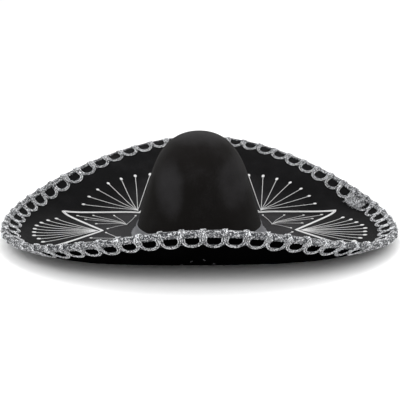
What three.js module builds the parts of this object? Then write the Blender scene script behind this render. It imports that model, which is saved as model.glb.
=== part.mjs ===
// Wide-brimmed felt sombrero: oval dome crown, brim curled up at front and back,
// silver braid and looped gimp round the rim, corded star and ray embroidery, lace hat band.
// Millimetres, +Z up, +X across the wearer, -Y to the front. Origin on the floor under the crown.
import * as THREE from 'three'

// ---- driving dimensions ----
const GAP = 0.35            // clearance between touching pieces

// brim plan and edge
const RIM_MEAN = 266        // mean plan radius of the felt edge
const RIM_OVAL = 20         // cos(2a) term: wider across X than along Y
const FELT_T = 2.0          // thickness of each brim felt
// how far the edge is lifted: a mean and harmonics of the angle [cos, sin]
const LIFT_MEAN = 50.4
const LIFT_COS = [-1.4, -33.3, -1.8, 1.2]
const LIFT_SIN = [13.1, -1.3, 1.8, 0]
const CURL_POWER = 5.6      // how suddenly the edge turns up ...
const CURL_TILT = 1.8       // ... more so at the back than at the front
const CURL_START = 0.2      // share of the brim width where the curl begins
const BACK_PLANE = [0.74, 102, 22]     // slope of the rising back, where it starts, half its run-in
const FRONT_PLANE = [0.32, 154.5, 29.5] // the same for the front
const REST_W = 15           // width of the ring round the crown that lies flat on the floor
const PLANE_RUN = 38        // how far beyond that ring the planes reach their full height
const RISE_RUN = 18         // and how far beyond it the gentle rise is complete
const RISE = 2.6            // height of that rise, keeps the lower stitching off the floor

// crown
const CROWN_A = 97          // half width across X where it meets the brim
const CROWN_OVAL = 1.075    // half length along Y over half width
const CROWN_H = 156         // height of the outside of the dome over the floor
const CROWN_TAPER = 0.368   // inward lean of the wall ...
const CROWN_FLARE = 0.93    // ... as this power of the height: it leans fastest near the brim
const DOME_N = 6.2          // how late the wall turns over into the dome
const DOME_M = 2.3
const CROWN_T = 2.4
const DENTS = [[-122, 21, 74, 40, 4.6], [-55, 20, 82, 34, 4.2]] // angle, spread, height, spread, depth
const LINING_T = 0.9
const SWEAT_H = 32
const SWEAT_T = 1.2

// rim trim
const WIRE_D = 2.0
const BRAID_W = 6.6         // how far the folded braid reaches in on each face
const BRAID_T = 1.2
const LOOPS = 62
const LOOP_DEPTH = 21       // from the felt edge to the bottom of a loop
const LOOP_TOP = 9.6
const LOOP_CORD = [2.6, 1.5] // width and height of the gimp pair
const TAIL = [21.6, 44, 6, 27, 2.6] // angle, length, reach from, reach to, thickness

// hat band
const BAND_H = 15
const BAND_T = 1.3
const BAND_FOOT = 4.5       // how far its foot spreads over the brim

// embroidery, plan positions over the brim
const STAR_SIDE_TIP = [214.5, 95]
const STAR_END_TIP = [0, 216]
const STAR_SIDE_IN = [143.5, 0]
const STAR_CORNER_IN = [94.6, 96.2]
const STAR_CORD = [2.8, 1.3]
const RAY = [1.3, 0.9]      // width and height of one satin-stitched ray
const DOT = [3.0, 4.2]      // width and length of the knot at a ray's end
// fans: where the rays meet, and the oval their ends lie on (centre, half width, half length)
const SIDE_FAN = { apex: [151, 0], oval: [151, 0, 94, 94], first: -41.6, step: 10.4, rays: 9 }
const CORNER_FAN = { apex: [97.6, 102.4], oval: [82, 100, 105, 63], first: 13, step: 13, rays: 7 }
const TIP_FAN_SIDE = [111, 41]
const TIP_FAN_END = [0, 118]
const TIP_FAN_STOPS = [0.2, 0.42, 0.68, 0.96] // along each star edge, from the tip
const TIP_FAN_INSET = 12

// resolution
const NA = Math.round(RIM_MEAN / 4.4) // steps round the brim
const NC = 36               // steps round the crown
const CLEAR = 1             // height of the stitching over the flat facets
const STITCH_RUN = 10       // longest straight run of a ray

const rad = d => d * Math.PI / 180
const lerp = (a, b, k) => a + (b - a) * k

// ---- shape laws ----
const ovalR = (a, ang, ratio = CROWN_OVAL) => {
  const b = a * ratio
  return a * b / Math.hypot(b * Math.cos(ang), a * Math.sin(ang))
}
const rimR = ang => RIM_MEAN + RIM_OVAL * Math.cos(2 * ang)
const lift = ang => LIFT_COS.reduce(
  (h, c, k) => h + c * Math.cos((k + 1) * ang) + LIFT_SIN[k] * Math.sin((k + 1) * ang), LIFT_MEAN)
const smooth = k => { const q = Math.min(1, Math.max(0, k)); return q * q * (3 - 2 * q) }
// height of a plane that rises from `start` outwards with a rounded run-in
function planeZ([slope, start, soft], v) {
  const q = Math.min(2 * soft, Math.max(0, v - start + soft))
  return slope * (q * q / (4 * soft) + Math.max(0, v - start - soft))
}
const planes = y => planeZ(BACK_PLANE, y) + planeZ(FRONT_PLANE, -y)
// flat ring under the crown, then rising planes at back and front, then the curl up to the edge
function brimZ(ang, r) {
  const r0 = ovalR(CROWN_A, ang), edge = rimR(ang)
  const s = (r - r0) / (edge - r0)
  const t = Math.max(0, (s - CURL_START) / (1 - CURL_START))
  const out = r - r0 - REST_W
  const low = RISE * smooth(out / RISE_RUN) + planes(r * Math.sin(ang)) * smooth(out / PLANE_RUN)
  const curl = lift(ang) - RISE - planes(edge * Math.sin(ang))
  return low + curl * t ** (CURL_POWER + CURL_TILT * Math.sin(ang))
}
// point of the brim, d above its underside measured square to the profile
function brimPoint(ang, r, d) {
  const e = 0.05
  const slope = (brimZ(ang, r + e) - brimZ(ang, r - e)) / (2 * e)
  const n = Math.hypot(1, slope)
  const rr = r - d * slope / n
  return new THREE.Vector3(rr * Math.cos(ang), rr * Math.sin(ang), brimZ(ang, r) + d / n)
}
// radius at a distance w in from the felt edge, along the profile
function radiusIn(ang, w) {
  let r = rimR(ang), left = w
  while (left > 0) {
    const step = Math.min(1, left)
    const slope = brimZ(ang, r) - brimZ(ang, r - 1)
    r -= step / Math.hypot(1, slope)
    left -= step
  }
  return r
}
const RIM_ROWS = [0, BRAID_W, 26, 48] // distances in from the edge
const MID_ROWS = [0.3, 0.65]          // shares of the way from the end of the rise to those
function brimRadii(ang, hole) {
  const flat = ovalR(CROWN_A, ang) + REST_W, risen = flat + RISE_RUN
  const outer = RIM_ROWS.map(d => radiusIn(ang, d)).reverse()
  return [ovalR(hole, ang), flat, risen, ...MID_ROWS.map(k => lerp(risen, outer[0], k)), ...outer]
}

// ---- mesh building ----
function meshFrom(name, verts, tris, color, rough, metal = 0) {
  const pos = new Float32Array(verts.length * 3)
  verts.forEach((v, i) => pos.set([v.x, v.y, v.z], i * 3))
  const g = new THREE.BufferGeometry()
  g.setAttribute('position', new THREE.BufferAttribute(pos, 3))
  g.setIndex(tris.flat())
  g.computeVertexNormals()
  const m = new THREE.Mesh(g, new THREE.MeshStandardMaterial({ color, roughness: rough, metalness: metal }))
  m.name = name
  return m
}
// rings: sections in order round the path, each a list of points; both ways closed
// halfway round a section the diagonals turn over, so stacked sheets share the same facets
function tubeTris(nRings, nSec, mirrored) {
  const tris = []
  for (let i = 0; i < nRings; i++) {
    const k = (i + 1) % nRings
    for (let j = 0; j < nSec; j++) {
      const l = (j + 1) % nSec
      const [a, b, c, d] = [i * nSec + j, k * nSec + j, k * nSec + l, i * nSec + l]
      if (mirrored && j >= nSec / 2) tris.push([a, b, d], [b, c, d])
      else tris.push([a, b, c], [a, c, d])
    }
  }
  return tris
}
function outward(verts, tris) {
  let v = 0
  for (const [a, b, c] of tris) v += verts[a].dot(new THREE.Vector3().crossVectors(verts[b], verts[c]))
  return v >= 0 ? tris : tris.map(([a, b, c]) => [a, c, b])
}
function loft(name, sections, mirrored, ...look) {
  const verts = sections.flat()
  const tris = tubeTris(sections.length, sections[0].length, mirrored)
  return meshFrom(name, verts, outward(verts, tris), ...look)
}
const around = (n, f) => Array.from({ length: n }, (_, i) => f(2 * Math.PI * i / n))

// ---- faceted faces of the brim, so stitched pieces sit clear of the flat facets ----
const HOLE_UPPER = CROWN_A + 0.45
const HOLE_UNDER = CROWN_A - CROWN_T - 2.2
const faceRows = (hole, d) => around(NA, a => brimRadii(a, hole).map(r => brimPoint(a, r, d)))
const TOP = faceRows(HOLE_UPPER, 2 * FELT_T + GAP)
const UNDER = faceRows(HOLE_UNDER, 0)
function onFace(rows, up, x, y, d) {
  const ang = (Math.atan2(y, x) + 2 * Math.PI) % (2 * Math.PI)
  const i = Math.floor(ang / (2 * Math.PI) * NA) % NA, k = (i + 1) % NA
  const A = rows[i], B = rows[k]
  const side = (p, q) => (q.x - p.x) * (y - p.y) - (q.y - p.y) * (x - p.x)
  let j = 0
  while (j < A.length - 2 && side(A[j + 1], B[j + 1]) < 0) j++
  const tri = side(A[j], B[j + 1]) < 0 ? [A[j], A[j + 1], B[j + 1]] : [A[j], B[j + 1], B[j]]
  const n = new THREE.Vector3().crossVectors(tri[1].clone().sub(tri[0]), tri[2].clone().sub(tri[0])).normalize()
  if (n.z < 0) n.negate()
  const z = tri[0].z - (n.x * (x - tri[0].x) + n.y * (y - tri[0].y)) / n.z
  if (!up) n.negate()
  return { p: new THREE.Vector3(x, y, z).addScaledVector(n, d), n }
}
const onTop = (x, y, d) => onFace(TOP, true, x, y, d)
const onUnder = (x, y, d) => onFace(UNDER, false, x, y, d)

// closed cord of triangular section following plan points over a face
function cordRing(name, pts, face, clear, width, height, ...look) {
  const n = pts.length
  const sections = pts.map(([x, y], i) => {
    const a = pts[(i + n - 1) % n], b = pts[(i + 1) % n]
    const low = face(x, y, clear), high = face(x, y, clear + height)
    const dir = face(b[0], b[1], 0).p.sub(face(a[0], a[1], 0).p).normalize()
    const lat = new THREE.Vector3().crossVectors(low.n, dir).normalize().multiplyScalar(width / 2)
    return [low.p.clone().sub(lat), low.p.clone().add(lat), high.p]
  })
  return loft(name, sections, false, ...look)
}
// flat-backed plate from plan vertices and triangles, laid on a face
function plate(name, pts, tris, face, d, t, ...look) {
  const low = pts.map(([x, y]) => face(x, y, d).p), high = pts.map(([x, y]) => face(x, y, d + t).p)
  const n = pts.length, all = [...low, ...high]
  const out = tris.map(q => q.map(v => v + n)).concat(tris.map(([a, b, c]) => [a, c, b]))
  const edges = new Map()
  for (const q of tris) for (let i = 0; i < 3; i++) edges.set(q[i] + '_' + q[(i + 1) % 3], [q[i], q[(i + 1) % 3]])
  for (const [a, b] of edges.values()) {
    if (!edges.has(b + '_' + a)) out.push([a, b, b + n], [a, b + n, a + n])
  }
  return meshFrom(name, all, outward(all, out), ...look)
}
// fan of ridged rays from an apex; ends is a list of plan end points in order of angle
function rayFan(name, apex, ends, face, ...look) {
  const hub = 7, tall = CLEAR + RAY[1]
  const verts = [face(...apex, CLEAR).p, face(...apex, tall).p], tris = []
  const rays = ends.map(([ex, ey]) => {
    const dx = ex - apex[0], dy = ey - apex[1], len = Math.hypot(dx, dy), ux = dx / len, uy = dy / len
    const steps = Math.max(1, Math.ceil((len - hub - DOT[1]) / STITCH_RUN))
    const stations = Array.from({ length: steps + 1 }, (_, i) => [lerp(hub, len - DOT[1], i / steps), RAY[0]])
    stations[0][1] *= 0.7
    stations.push([len, DOT[0]])
    const base = verts.length
    for (const [l, w] of stations) {
      const x = apex[0] + ux * l, y = apex[1] + uy * l
      verts.push(face(x + uy * w / 2, y - ux * w / 2, CLEAR).p, face(x - uy * w / 2, y + ux * w / 2, CLEAR).p)
      verts.push(face(x, y, tall).p)
    }
    for (let i = 0; i < stations.length - 1; i++) {
      const q = base + 3 * i
      tris.push([q, q + 1, q + 4], [q, q + 4, q + 3], [q, q + 3, q + 5], [q, q + 5, q + 2])
      tris.push([q + 1, q + 2, q + 5], [q + 1, q + 5, q + 4])
    }
    const e = base + 3 * (stations.length - 1)
    tris.push([e, e + 1, e + 2], [0, base + 1, base], [1, base, base + 2], [1, base + 2, base + 1])
    return base
  })
  for (let k = 0; k + 1 < rays.length; k++) {
    tris.push([0, rays[k + 1], rays[k] + 1], [1, rays[k] + 1, rays[k + 1]])
  }
  tris.push([0, rays[0], 1], [0, 1, rays[rays.length - 1] + 1])
  return meshFrom(name, verts, outward(verts, tris), ...look)
}

// ---- brim ----
const FELT = [0x161617, 0.95]
const SILVER = [0xc9ccd0, 0.42, 0.55]
const WHITE = [0xe8e9ea, 0.6]
function brimFelt(name, hole, d0, d1) {
  return loft(name, around(NA, a => {
    const rr = brimRadii(a, hole)
    return [...rr.map(r => brimPoint(a, r, d1)), ...rr.slice().reverse().map(r => brimPoint(a, r, d0))]
  }), true, ...FELT)
}
const brimUnderFelt = brimFelt('brim_under_felt', HOLE_UNDER, 0, FELT_T)
const brimUpperFelt = brimFelt('brim_upper_felt', HOLE_UPPER, FELT_T + GAP, 2 * FELT_T + GAP)

// rim frame: a outward along the profile from the felt edge, d above the underside
const MID_D = FELT_T + GAP / 2
function rimPoint(ang, a, d) {
  if (a <= 0) return brimPoint(ang, radiusIn(ang, -a), d)
  const r = rimR(ang)
  const p = brimPoint(ang, r, d), q = brimPoint(ang, r - 0.5, d)
  return p.clone().add(p.clone().sub(q).normalize().multiplyScalar(a))
}
const rimWire = loft('rim_wire', around(NA, a => around(4, b => rimPoint(a,
  GAP + WIRE_D / 2 * (1 + Math.cos(b)), MID_D + WIRE_D / 2 * Math.sin(b)))), false, 0x8d9094, 0.4, 0.9)
const HI = 2 * FELT_T + GAP + 0.6, LO = -1.1, EDGE = GAP * 2 + WIRE_D + 0.4
const edgeBraid = loft('edge_braid', around(NA, a => [
  [-BRAID_W, HI], [0, HI], [EDGE, MID_D], [0, LO], [-BRAID_W, LO],
  [-BRAID_W, LO - BRAID_T], [0.8, LO - BRAID_T], [EDGE + BRAID_T, MID_D],
  [0.8, HI + BRAID_T], [-BRAID_W, HI + BRAID_T],
].map(([x, d]) => rimPoint(a, x, d))), false, ...SILVER)

// looped gimp: one cord that runs round the rim in U shapes
const LOOP_PATH = [[-0.38, LOOP_TOP], [-0.27, LOOP_DEPTH], [0.27, LOOP_DEPTH], [0.38, LOOP_TOP]]
function loopPoints(shift) {
  const out = []
  for (let k = 0; k < LOOPS; k++) {
    for (const [f, w] of LOOP_PATH) {
      const ang = 2 * Math.PI * (k + f + shift) / LOOPS
      const r = radiusIn(ang, w)
      out.push([r * Math.cos(ang), r * Math.sin(ang)])
    }
  }
  return out
}
const topShift = pts => pts.map(([x, y]) => {
  const ang = Math.atan2(y, x), r = Math.hypot(x, y)
  const p = brimPoint(ang, r, 2 * FELT_T + GAP)
  return [p.x, p.y]
})
const upperLoops = cordRing('upper_loop_trim', topShift(loopPoints(0)), onTop, CLEAR, ...LOOP_CORD, ...SILVER)
const lowerLoops = cordRing('lower_loop_trim', loopPoints(0.5), onUnder, CLEAR, ...LOOP_CORD, ...SILVER)

// lapped tail of the trim, folded in over the loops
const tailPts = [], tailTris = []
const TAIL_ROWS = 3, TAIL_COLS = 4
for (let i = 0; i <= TAIL_COLS; i++) {
  for (let j = 0; j <= TAIL_ROWS; j++) {
    const ang = rad(TAIL[0]) + (i / TAIL_COLS - 0.5) * TAIL[1] / rimR(rad(TAIL[0]))
    const narrow = 1 - 0.3 * Math.abs(i / TAIL_COLS - 0.5)
    const r = radiusIn(ang, lerp(TAIL[2], TAIL[3] * narrow, j / TAIL_ROWS))
    tailPts.push([r * Math.cos(ang), r * Math.sin(ang)])
    const q = i * (TAIL_ROWS + 1) + j, w = q + TAIL_ROWS + 1
    if (i < TAIL_COLS && j < TAIL_ROWS) tailTris.push([q, w, w + 1], [q, w + 1, q + 1])
  }
}
const trimTail = plate('trim_tail', topShift(tailPts), tailTris, onTop, LOOP_CORD[1] + 1.6, TAIL[4], ...SILVER)

// ---- crown ----
function crownR(ang, z, inset, top) {
  const u = Math.min(1, z / top)
  const a = (CROWN_A - inset - CROWN_TAPER * z ** CROWN_FLARE) * (1 - u ** DOME_N) ** (1 / DOME_M)
  let r = ovalR(Math.max(a, 0.01), ang)
  for (const [d, ds, h, hs, depth] of DENTS) {
    let da = ang - rad(d)
    da = Math.atan2(Math.sin(da), Math.cos(da)) / rad(ds)
    const dz = (z - h) / hs
    r -= depth * Math.exp(-da * da - dz * dz) * Math.min(1, a / 40)
  }
  return r
}
const LEVELS = [0, 0.12, 0.28, 0.44, 0.58, 0.7, 0.8, 0.88, 0.94, 0.98]
const LINING_LEVELS = [0, 0.28, 0.5, 0.67, 0.8, 0.9, 0.97]
function dome(name, levels, z0, inset, top, t, ...look) {
  const verts = [], tris = [], n = levels.length
  const add = (ins, h) => {
    for (const l of levels) {
      const z = lerp(z0, h, l)
      for (const a of around(NC, q => q)) {
        const r = crownR(a, z, ins, h)
        verts.push(new THREE.Vector3(r * Math.cos(a), r * Math.sin(a), z))
      }
    }
    verts.push(new THREE.Vector3(0, 0, h))
  }
  add(inset, top)
  add(inset + t, top - t)
  const off = n * NC + 1
  for (let i = 0; i < NC; i++) {
    const k = (i + 1) % NC
    for (let j = 0; j < n - 1; j++) {
      const a = j * NC + i, b = j * NC + k, c = a + NC, d = b + NC
      tris.push([a, b, d], [a, d, c], [a + off, d + off, b + off], [a + off, c + off, d + off])
    }
    const a = (n - 1) * NC + i, b = (n - 1) * NC + k
    tris.push([a, b, n * NC], [a + off, n * NC + off, b + off])
    tris.push([i, off + k, k], [i, off + i, off + k])
  }
  return meshFrom(name, verts, outward(verts, tris), ...look)
}
const CROWN_Z = FELT_T + GAP
const crownFelt = dome('crown_felt', LEVELS, CROWN_Z, 0, CROWN_H, CROWN_T, ...FELT)
const LINING_Z = CROWN_Z + SWEAT_H + 1
const crownLining = dome('crown_lining', LINING_LEVELS, LINING_Z, CROWN_T + 1.2, CROWN_H - CROWN_T - 1.5,
  LINING_T, 0x2a2a2e, 0.6)
const sweatInner = CROWN_H - CROWN_T
const sweatband = loft('sweatband', around(NC, a => {
  const wall = z => crownR(a, z, CROWN_T + 0.45, sweatInner)
  const zs = [CROWN_Z, CROWN_Z + SWEAT_H]
  const at = (r, z) => new THREE.Vector3(r * Math.cos(a), r * Math.sin(a), z)
  return [...zs.map(z => at(wall(z), z)), ...zs.slice().reverse().map(z => at(wall(z) - SWEAT_T, z))]
}), false, 0x1c1a19, 0.55)

// hat band: lace that climbs the wall and spreads its foot over the brim
const BRIM_TOP = 2 * FELT_T + GAP
const hatBand = loft('hat_band', around(NC, a => {
  const wall = z => crownR(a, z, -0.5, CROWN_H)
  const at = (r, z) => new THREE.Vector3(r * Math.cos(a), r * Math.sin(a), z)
  const z0 = BRIM_TOP + GAP, foot = wall(z0) + BAND_FOOT
  return [at(wall(z0), z0), at(foot, z0), at(foot + 0.3, z0 + BAND_T), at(wall(z0 + 5) + 2.4, z0 + 4.6),
    at(wall(z0 + BAND_H) + BAND_T, z0 + BAND_H), at(wall(z0 + BAND_H), z0 + BAND_H)]
}), false, 0x9a9da2, 0.5, 0.4)

// ---- embroidery ----
const flip = ([x, y], sx, sy) => [x * sx, y * sy]
const starCorners = [
  STAR_SIDE_IN, STAR_SIDE_TIP, STAR_CORNER_IN, STAR_END_TIP, flip(STAR_CORNER_IN, -1, 1),
  flip(STAR_SIDE_TIP, -1, 1), flip(STAR_SIDE_IN, -1, 1), flip(STAR_SIDE_TIP, -1, -1),
  flip(STAR_CORNER_IN, -1, -1), flip(STAR_END_TIP, 1, -1), flip(STAR_CORNER_IN, 1, -1), flip(STAR_SIDE_TIP, 1, -1)]
function starPath(step) {
  const out = []
  starCorners.forEach(([x0, y0], i) => {
    const [x1, y1] = starCorners[(i + 1) % starCorners.length]
    const n = Math.ceil(Math.hypot(x1 - x0, y1 - y0) / step)
    for (let k = 0; k < n; k++) out.push([lerp(x0, x1, k / n), lerp(y0, y1, k / n)])
  })
  return out
}
const starUpper = cordRing('star_cord_upper', starPath(10), onTop, CLEAR, ...STAR_CORD, ...WHITE)
const starUnder = cordRing('star_cord_under', starPath(9), onUnder, CLEAR, 2.2, 0.9, 0x3a3b3e, 0.8)

const fanEnds = ({ oval: [cx, cy, rx, ry], first, step, rays }, mx, my) => {
  const out = Array.from({ length: rays }, (_, k) => {
    const a = rad(first + k * step)
    return [(cx + rx * Math.cos(a)) * mx, (cy + ry * Math.sin(a)) * my]
  })
  return mx * my < 0 ? out.reverse() : out
}
// rays that fill a star point: they end just inside its two edges
function tipEnds(tip, inA, inB, apex) {
  const inset = (corner, other, f) => {
    const x = lerp(tip[0], corner[0], f), y = lerp(tip[1], corner[1], f)
    let nx = corner[1] - tip[1], ny = tip[0] - corner[0]
    const l = Math.hypot(nx, ny)
    const s = Math.sign((other[0] - tip[0]) * nx + (other[1] - tip[1]) * ny)
    return [x + s * nx / l * TIP_FAN_INSET, y + s * ny / l * TIP_FAN_INSET]
  }
  const ends = [...TIP_FAN_STOPS.map(f => inset(inA, inB, f)), ...TIP_FAN_STOPS.map(f => inset(inB, inA, f))]
  const base = Math.atan2(tip[1] - apex[1], tip[0] - apex[0])
  const turn = ([x, y]) => {
    const a = Math.atan2(y - apex[1], x - apex[0]) - base
    return Math.atan2(Math.sin(a), Math.cos(a))
  }
  return ends.sort((p, q) => turn(p) - turn(q))
}
const fans = []
for (const [name, mx] of [['right', 1], ['left', -1]]) {
  const apex = flip(SIDE_FAN.apex, mx, 1)
  fans.push(rayFan('fan_' + name, apex, fanEnds(SIDE_FAN, mx, 1), onTop, ...WHITE))
  for (const [end, my] of [['back', 1], ['front', -1]]) {
    const c = flip(CORNER_FAN.apex, mx, my)
    fans.push(rayFan(`fan_${end}_${name}`, c, fanEnds(CORNER_FAN, mx, my), onTop, ...WHITE))
    const tip = flip(STAR_SIDE_TIP, mx, my), a = flip(TIP_FAN_SIDE, mx, my)
    const ends = tipEnds(tip, flip(STAR_SIDE_IN, mx, my), flip(STAR_CORNER_IN, mx, my), a)
    fans.push(rayFan(`tip_rays_${end}_${name}`, a, ends, onTop, ...WHITE))
  }
}
for (const [end, my] of [['back', 1], ['front', -1]]) {
  const a = flip(TIP_FAN_END, 1, my)
  const ends = tipEnds(flip(STAR_END_TIP, 1, my), flip(STAR_CORNER_IN, -1, my), flip(STAR_CORNER_IN, 1, my), a)
  fans.push(rayFan(`tip_rays_${end}`, a, ends, onTop, ...WHITE))
}

const hat = new THREE.Group()
hat.name = 'sombrero'
hat.add(brimUnderFelt, brimUpperFelt, rimWire, edgeBraid, upperLoops, lowerLoops, trimTail)
hat.add(crownFelt, crownLining, sweatband, hatBand, starUpper, starUnder, ...fans)
export default hat
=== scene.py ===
"""A wide-brimmed felt sombrero, built as a small Blender add-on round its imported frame.

The felt brim, the crown, the folded silver braid, the looped gimp, the star and ray embroidery,
the lace hat band and the lining are each made by their own operator.
"""
import math

import bmesh
import bpy
import numpy as np
from bpy.props import FloatProperty, FloatVectorProperty, IntProperty, PointerProperty
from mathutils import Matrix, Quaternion, Vector


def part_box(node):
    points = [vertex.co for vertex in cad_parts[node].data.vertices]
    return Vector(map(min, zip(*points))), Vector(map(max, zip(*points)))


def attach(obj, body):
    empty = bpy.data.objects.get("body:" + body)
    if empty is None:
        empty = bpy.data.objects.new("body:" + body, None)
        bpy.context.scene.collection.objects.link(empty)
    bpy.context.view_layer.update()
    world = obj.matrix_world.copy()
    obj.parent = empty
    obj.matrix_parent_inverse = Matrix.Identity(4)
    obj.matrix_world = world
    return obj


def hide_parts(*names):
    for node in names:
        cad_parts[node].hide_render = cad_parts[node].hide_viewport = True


bl_info = {
    "name": "Felt sombrero",
    "version": (1, 0, 0),
    "blender": (4, 5, 0),
    "location": "View3D > Sidebar > Sombrero",
    "description": "Builds a felt sombrero with silver braid and star embroidery",
    "category": "Object",
}

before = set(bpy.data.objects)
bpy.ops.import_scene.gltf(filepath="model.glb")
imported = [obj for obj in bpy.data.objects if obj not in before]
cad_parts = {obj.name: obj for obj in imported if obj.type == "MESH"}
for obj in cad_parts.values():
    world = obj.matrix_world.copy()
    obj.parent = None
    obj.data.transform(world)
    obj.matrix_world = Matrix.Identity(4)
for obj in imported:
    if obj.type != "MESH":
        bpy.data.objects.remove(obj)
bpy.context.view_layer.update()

MM = 0.001
TAU = 2 * math.pi

# ---- how the felt is shaped, in millimetres and degrees ----
CROWN_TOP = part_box("crown_felt")[1].z / MM
GAP = 0.35
LIFT_COS = (-1.4, -33.3, -1.8, 1.2)      # harmonics of the edge's height round the hat
LIFT_SIN = (13.1, -1.3, 1.8, 0.0)
CURL_POWER, CURL_TILT = 5.6, 1.8         # how suddenly the brim turns up, and more so at the back
CURL_START = 0.2
BACK_PLANE = (0.74, 102.0, 22.0)         # slope of the rising back, its start, half its run-in
FRONT_PLANE = (0.32, 154.5, 29.5)
REST_WIDTH = 15.0                        # the ring round the crown that lies flat on the floor
PLANE_RUN, RISE_RUN, RISE = 38.0, 18.0, 2.6
SLOPE_PROBE = 0.05                       # how far each way the profile's slope is felt for
TABLE_ROUND, TABLE_IN, TABLE_STEP = 720, 160, 0.5    # the table of radii in from the edge
BRAID_END = (0.3, 2.6, 0.05)             # where the braid closes on the felt, over what run, how near
CROWN_RATIO = 1.075                      # the head opening is longer than it is wide
CROWN_TAPER, CROWN_TAPER_POWER = 0.368, 0.93
DOME_LATE, DOME_ROUND, DOME_CROWDING = 6.2, 2.3, 2.4
CROWN_WALL, LINING_WALL, SWEAT_WALL = 2.4, 0.9, 1.2
SWEAT_HEIGHT, SWEAT_BULGE, SWEAT_FIT = 32, 0.5, 0.45
SEAM_STITCHES, SEAM_LEVELS = 130, (3.0, SWEAT_HEIGHT - 2.5)
WIRE_RADIUS = 1.0
BAND_PLEATS, BAND_SCALLOPS, SCALLOP_DEPTH = 90, 60, 1.2
# soft dents in the crown: direction, spread, height, spread, depth; they fade near the top's middle
DENTS = ((-122, 21, 74, 40, 4.6), (-55, 20, 82, 34, 4.2))
DENT_FADE = 40
# painted highlights in the crown's front dents, in metres: middle across and up, narrowness each way,
# strength
DENT_HIGHLIGHTS = ((-0.042, 0.085, 1500.0, 420.0, 0.62), (0.05, 0.092, 1000.0, 500.0, 0.5))
# the pressed crown's slow ripples: height, waves round, turn up the wall, start
RIPPLES = ((0.25, 3, 4.0, 0.0), (0.175, 5, -9, 1.3), (0.125, 9, 13, 0.4))
LINING_PLEATS, PLEAT_DEPTH = 20, 1.6
WAVES = ((0.016, 1.0, 2.2), (0.07, 2.0, 0.8))        # unevenness of the brim: scale, detail, height

# ---- embroidery, in plan over the brim ----
STAR_SIDE_TIP, STAR_END_TIP = (214.5, 95), (0, 216)
STAR_SIDE_IN, STAR_CORNER_IN = (143.5, 0), (94.6, 96.2)
# fans: apex, oval of the rays' ends (centre, half width, half length), first ray, step, rays
SIDE_FAN = ((151, 0), (151, 0, 94, 94), -41.6, 10.4, 9)
CORNER_FAN = ((97.6, 102.4), (82, 100, 105, 63), 13, 13, 7)
TIP_FAN_SIDE, TIP_FAN_END = (111, 41), (0, 118)
TIP_FAN_STOPS = (0.2, 0.42, 0.68, 0.96)
TIP_FAN_INSET = 12
# how each kind of fan differs: thread's thickness, knot's width and length
FAN_KINDS = {"tip": (0.72, 0.62, 0.9), "side": (1.0, 1.0, 1.35), "corner": (1.0, 1.0, 1.15)}
# stitches of the under face: first start, spacing, length, guide step, depth under the felt
STAR_DASH, RAY_DASH = (9.0, 21.0, 2.6, 1.8, -0.35), (9, 9, 4.2, 2.0, -0.25)

# ---- cords: pitch of the grains, then their length, width and height ----
GIMP_TWIST = (0.72, 1.5, 0.86, 0.95)                 # in shares of the gimp's thickness
GIMP_APART, GIMP_SIT, GIMP_CREST = 1.42, 0.3, 0.5    # strands' distance, seat, lift over the crest
STRANDS = (-0.5, 0.5)                                # a doubled cord's two sides of its middle
CREST_RUN = 6.0
LOOP_HALF, LOOP_SQUASH, LOOP_POINTS = 0.415, 0.95, 56    # half width in pitches, depth of the bow
LOOP_CHANCE, LOOP_LOOSE = (0.35, 0.5, 0.012), (8, 20)    # stray lean, depth, width; where they set in
BRAID_LANE, BRAID_STRAND, BRAID_LEAN = 5.2, 2.35, 1.9    # plait's lane, strand's width and slant
BRAID_TOOTH, BRAID_STEPS, BRAID_ACROSS = 2.0, 6, 31      # tooth's depth, points along and across
START_SHARE = 5.0 / 1703                             # where round the rim the first loop starts
LACE_TWIST, SEAM_TWIST, HAIR_TWIST = (2.1, 2.3, 0.8, 0.6), (1.2, 1.6, 0.6, 0.5), (1.5, 2.2, 0.45, 0.45)
STAR_DASH_TWIST, RAY_DASH_TWIST = (1.8, 2.4, 1.2, 0.8), (2.0, 2.8, 1.1, 0.8)

# ---- the frayed tail: its middle's direction, the rim's radius there, its reach, cords, hairs ----
TAIL_WAY, TAIL_RADIUS, TAIL_REACH, TAIL_CORDS, TAIL_HAIRS = 21.6, 286, 22, 7, 620

# ---- finishes: noise scales per metre, then what the function of each kind takes ----
FELT_FIBRE, FELT_MOTTLE, FELT_LINT, LINT_STRETCH = 950.0, 38.0, 1900.0, (1.0, 0.25, 0.6)
SILVER_BROAD, THREAD_FINE, THREAD_BROAD, CLOTH_FUZZ = 160.0, 1500.0, 120.0, 700.0
SILVERS = {"edge_braid": ("silver_braid", 700.0, 0.54), "loop_gimp": ("silver_gimp", 820.0, 0.03),
           "braid_tail": ("frayed_silver", 800.0, 0.1), "edge_wire": ("drawn_wire", 150.0, 0.3)}
THREADS = {"star_cord": ("white_cord", "white", 0.7, 0.5), "band_lace": ("grey_lace", "lace", 0.5, 0.6),
           "ray_stitch": ("white_thread", "white", 0.62, 0.5)}
WEAVES = {"lining_cloth": ("satin_lining", "lining", 0.6, 0.0011, 0.35),
          "sweat_cloth": ("ribbed_cotton", "sweatband", 0.4, 0.0024, 0.7)}

# ---- stage, in metres, watts and degrees ----
FLOOR_SHADE, FLOOR_SIZE, SKY_LIGHT = 0.96, 60, 1.06
LAMP_AIM = (0, 0, 0.05)
LAMPS = (("key_left", (-0.9, -1.0, 1.5), 0.9, 9.0), ("key_right", (1.0, -0.9, 1.4), 0.9, 6.0),
         ("top", (0.05, 0.3, 1.6), 0.8, 6.0))        # name, place, width, power
CAMERA_TARGET, CAMERA_AWAY = (0.0012, 0.0, 0.0538), 1.5
CAMERA_TILT, CAMERA_ROLL, CAMERA_LENS, CAMERA_CLIP = 14.5, -0.22, 91.73, (0.05, 100)


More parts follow.
